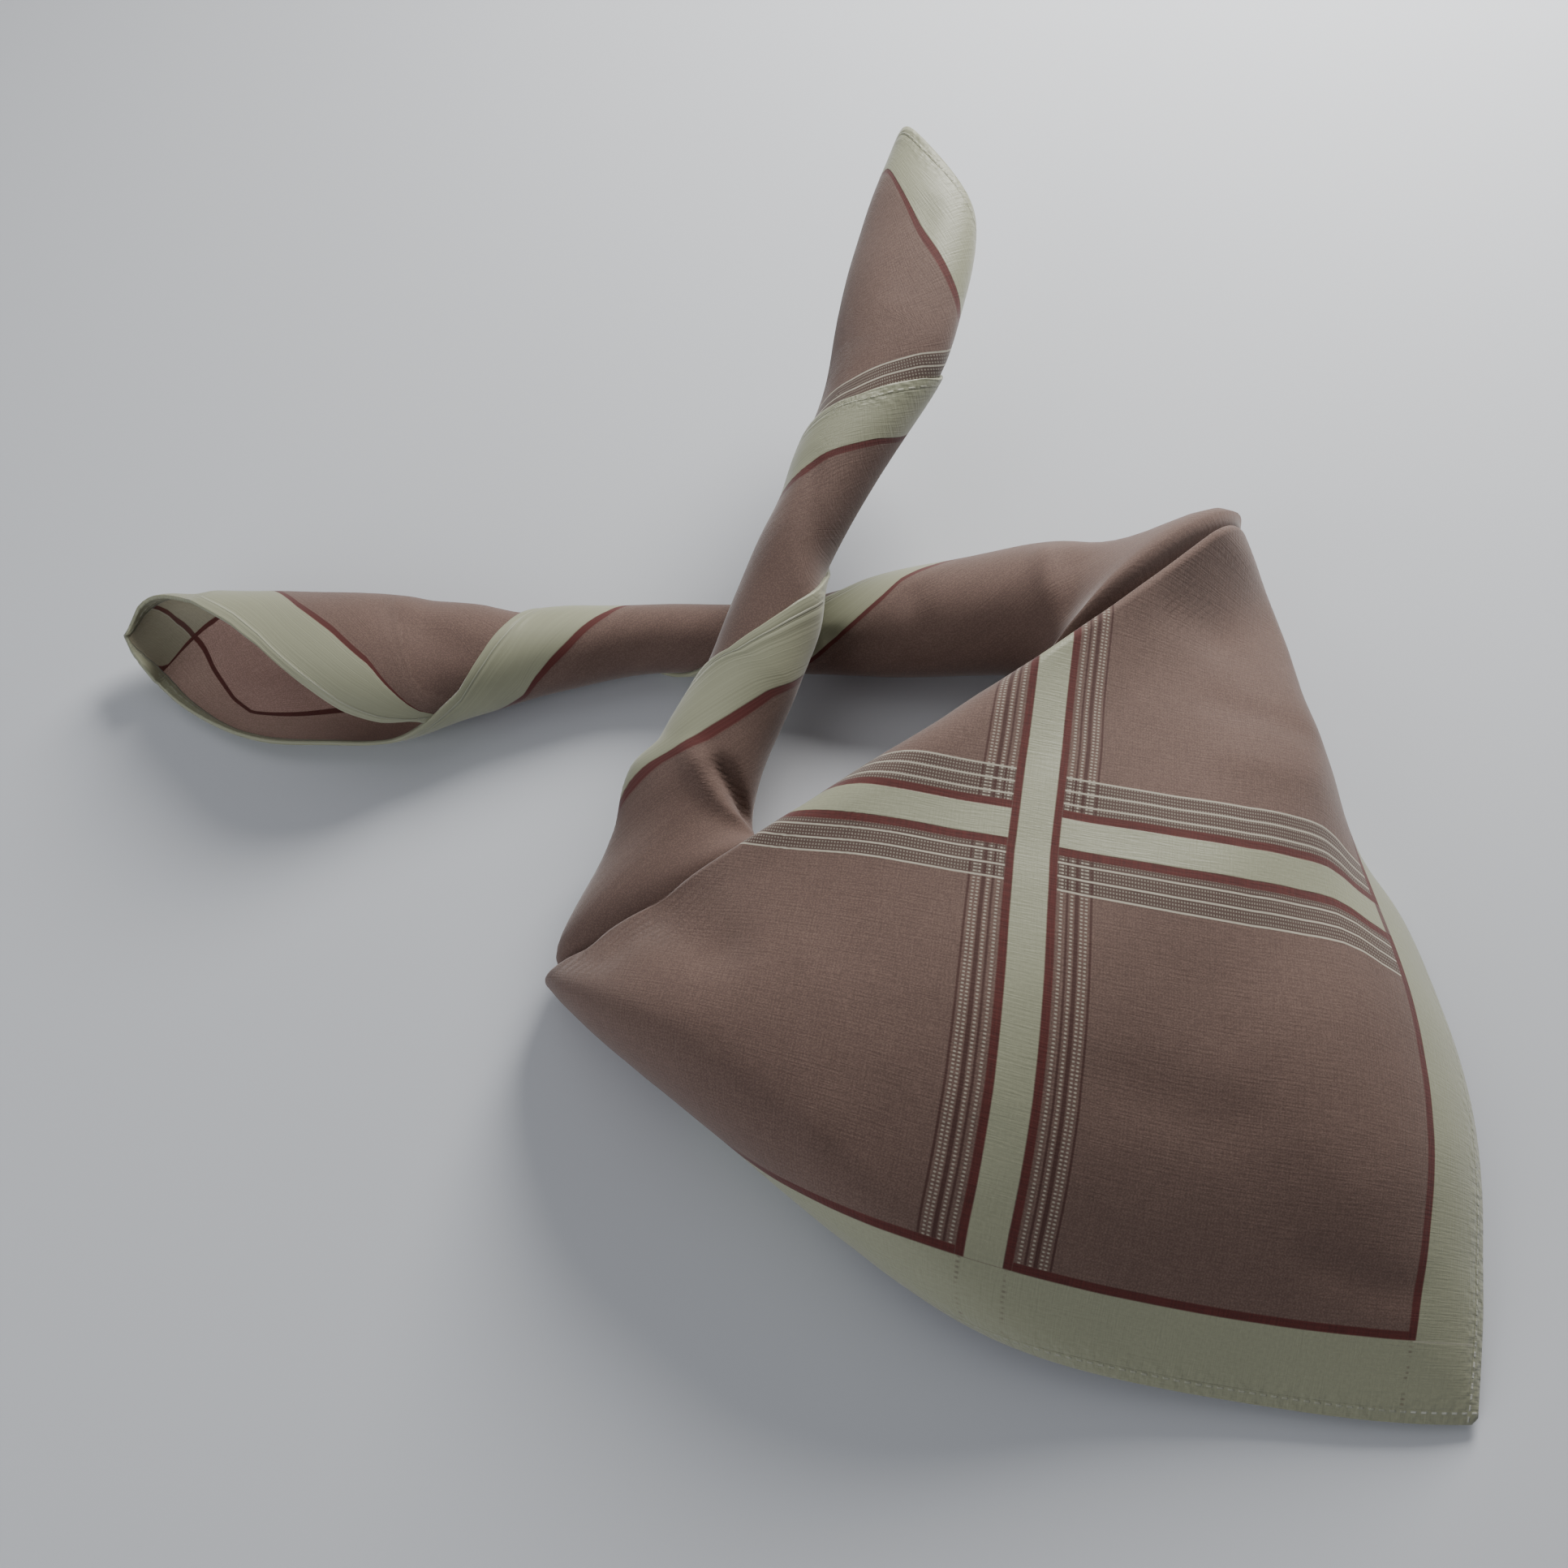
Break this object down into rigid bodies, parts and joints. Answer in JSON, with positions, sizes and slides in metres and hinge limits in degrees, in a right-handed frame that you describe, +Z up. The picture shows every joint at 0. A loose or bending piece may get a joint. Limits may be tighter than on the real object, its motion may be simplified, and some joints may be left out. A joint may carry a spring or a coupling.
{
  "type": "neckerchief",
  "caption": "Square woven cotton neckerchief rolled on its diagonal and laid down folded, with a free triangular front panel, crossed rolled tails and a satin border.",
  "frame": {"origin": "middle of the footprint, on the surface it lies on", "axes": "+Z up; +X to the right along the tail that lies on the floor, towards the panel's top fold; -Y towards the panel's free corner"},
  "size_m": [0.2434, 0.2636, 0.0502],
  "materials": {
    "front_panel": "plain-woven cotton chambray with woven stripes",
    "neck_roll": "plain-woven cotton chambray",
    "left_tail": "plain-woven cotton chambray with a satin border",
    "left_tail_tip": "satin-woven cotton border",
    "right_tail": "plain-woven cotton chambray with a satin border",
    "right_tail_mouth": "satin-woven cotton border"
  },
  "bodies": {
    "root": {"front_panel": "front_panel", "neck_roll": "neck_roll", "left_tail": "left_tail", "left_tail_tip": "left_tail_tip", "right_tail": "right_tail", "right_tail_mouth": "right_tail_mouth"}
  },
  "joints": []
}
